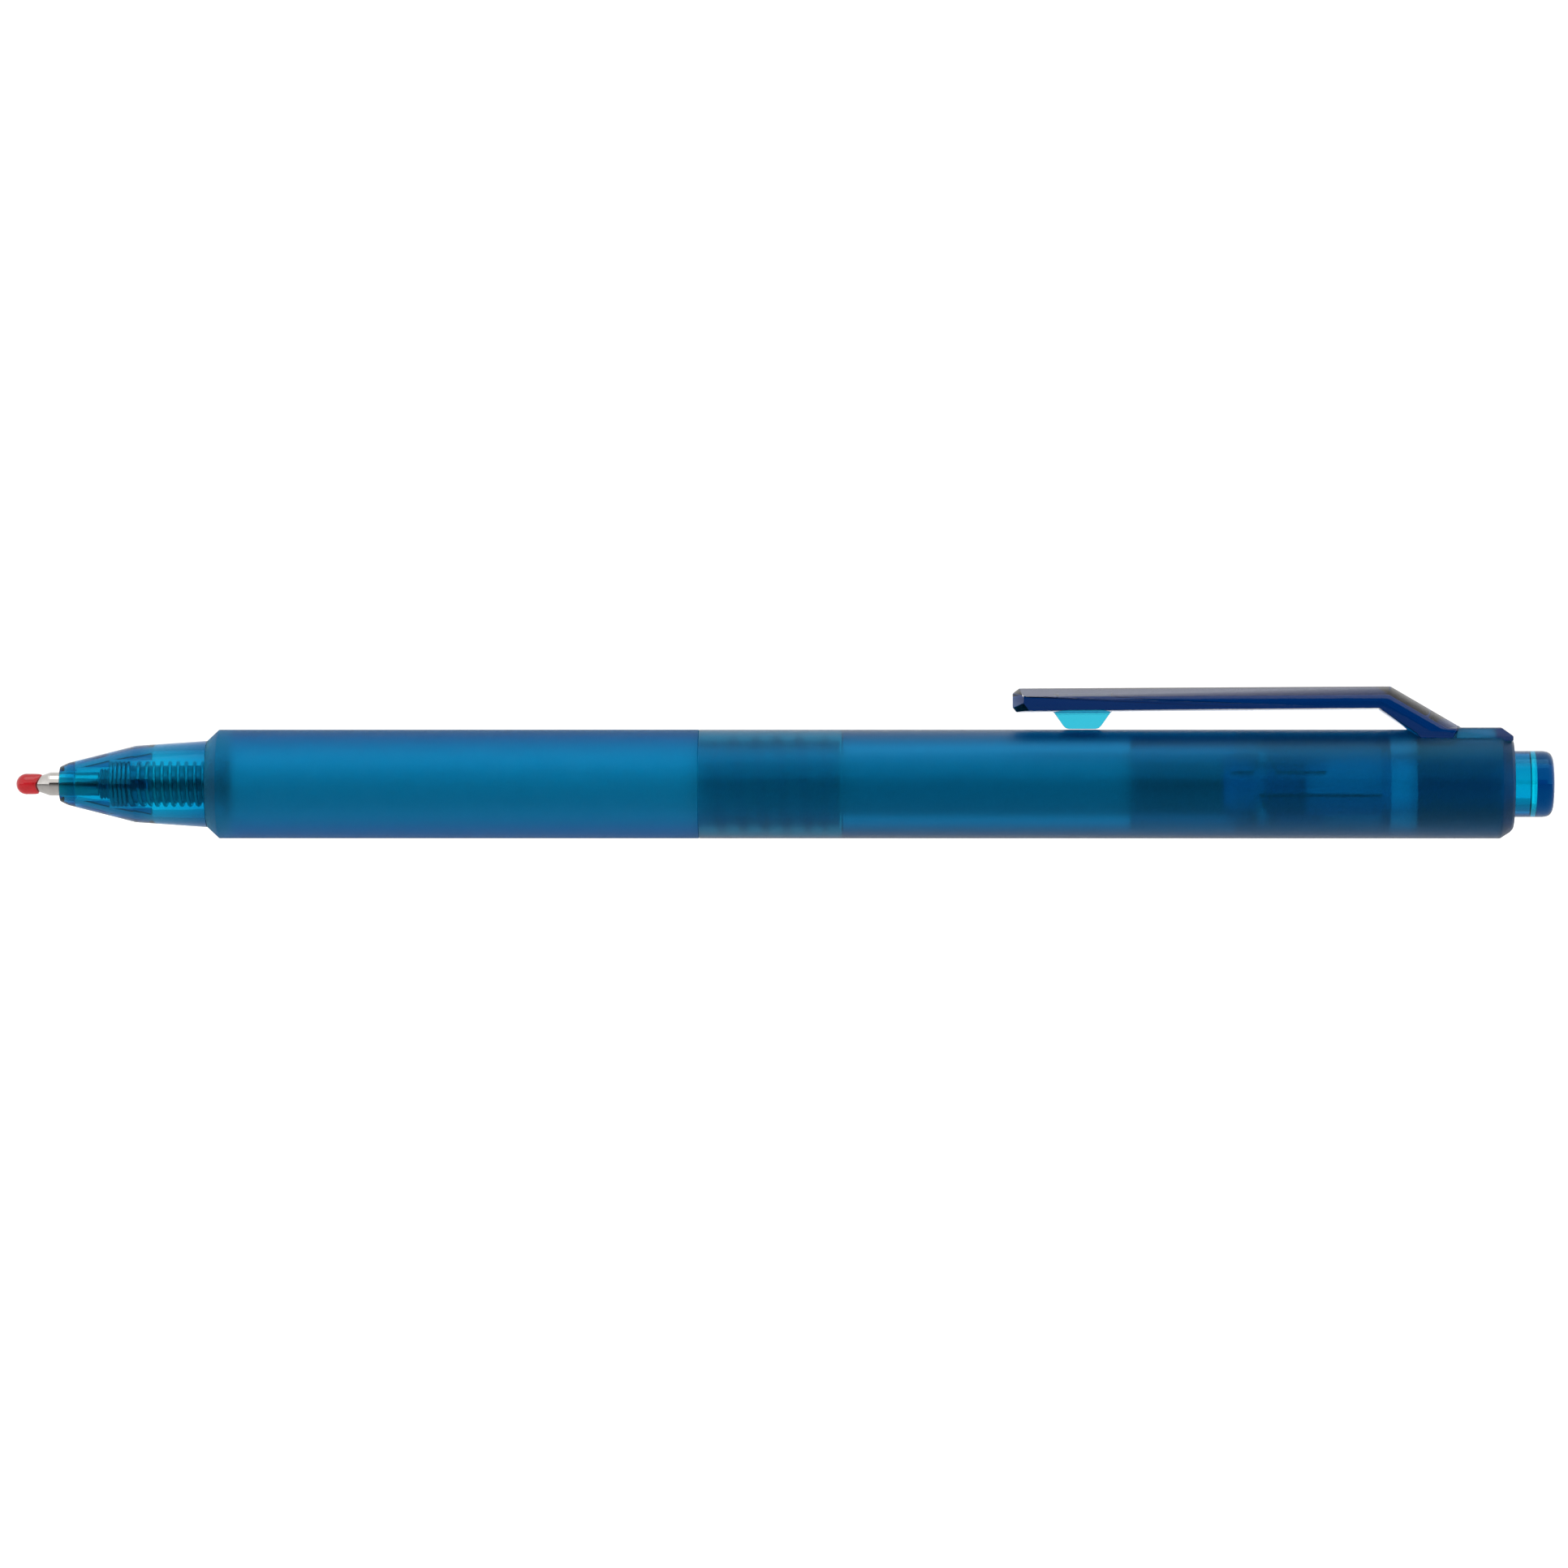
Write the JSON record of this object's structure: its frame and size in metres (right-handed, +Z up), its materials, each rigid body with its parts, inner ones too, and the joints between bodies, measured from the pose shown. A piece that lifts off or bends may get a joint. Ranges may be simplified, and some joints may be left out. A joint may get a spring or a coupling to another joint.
{
  "type": "gel pen",
  "caption": "Retractable gel pen with a see-through tinted barrel, frosted grip, spring-loaded refill, side clip and push button.",
  "frame": {"origin": "bottom centre of the bounding box: half way along the pen, under its axis, where the barrel rests", "axes": "+X from the writing point to the push button, +Z up to the clip, +Y across the pen"},
  "size_m": [0.1412, 0.01, 0.0139],
  "materials": {
    "red_wax": "glossy red resin bead",
    "ball_steel": "polished",
    "tip_steel": "satin turned",
    "holder_plastic": "milky see-through plastic",
    "refill_clear": "milky plastic tube",
    "gel_ink": "wet gel",
    "follower_grease": "wet grease",
    "spring_steel": "drawn wire",
    "clear_blue": "clear polished blue plastic",
    "frosted_blue": "frosted blue plastic",
    "frosted_deep_blue": "frosted blue plastic, deeper in tone",
    "bush_blue": "clear blue plastic",
    "sleeve_blue": "clear blue plastic",
    "button_blue": "clear polished blue plastic",
    "cam_plastic": "satin see-through plastic",
    "clip_blue": "glossy deep blue plastic"
  },
  "bodies": {
    "rear_section": {"rear_barrel": "frosted_deep_blue", "guide_sleeve": "sleeve_blue", "end_bush": "bush_blue", "clip_root": "clip_blue", "return_spring": "spring_steel"},
    "front_section": {"front_barrel": "frosted_blue", "nose_cone": "clear_blue"},
    "clip": {"clip_arm": "clip_blue"},
    "button": {"push_button": "button_blue"},
    "cam": {"rotary_cam": "cam_plastic"},
    "refill": {"refill_tube": "refill_clear", "tip_holder": "holder_plastic", "tip_cone": "tip_steel", "writing_ball": "ball_steel", "ink_column": "gel_ink", "ink_follower": "follower_grease"},
    "seal": {"tip_seal": "red_wax"}
  },
  "joints": [
    {"name": "button_slide", "type": "slide", "parent": "rear_section", "child": "button", "axis": [1, 0, 0], "range_m": [-0.0012, 0.005]},
    {"name": "cam_slide", "type": "slide", "parent": "rear_section", "child": "cam", "axis": [1, 0, 0], "range_m": [-0.0012, 0.005]},
    {"name": "refill_slide", "type": "slide", "parent": "rear_section", "child": "refill", "axis": [1, 0, 0], "range_m": [-0.0012, 0.005], "deforming": ["return_spring"]},
    {"name": "clip_flex", "type": "hinge", "parent": "rear_section", "child": "clip", "pos_m": [0.0594, 0, 0.01026], "axis": [0, 1, 0], "range_deg": [0, 4.5], "stiffness_Nm_per_rad": 2},
    {"name": "front_section_removal", "type": "slide", "parent": "rear_section", "child": "front_section", "axis": [1, 0, 0], "range_m": [-0.0135, 0]},
    {"name": "seal_removal", "type": "slide", "parent": "refill", "child": "seal", "axis": [1, 0, 0], "range_m": [-0.006, 0]}
  ],
  "couplings": [
    {"joint": "cam_slide", "follows": "button_slide", "ratio": 1},
    {"joint": "refill_slide", "follows": "button_slide", "ratio": 1}
  ]
}
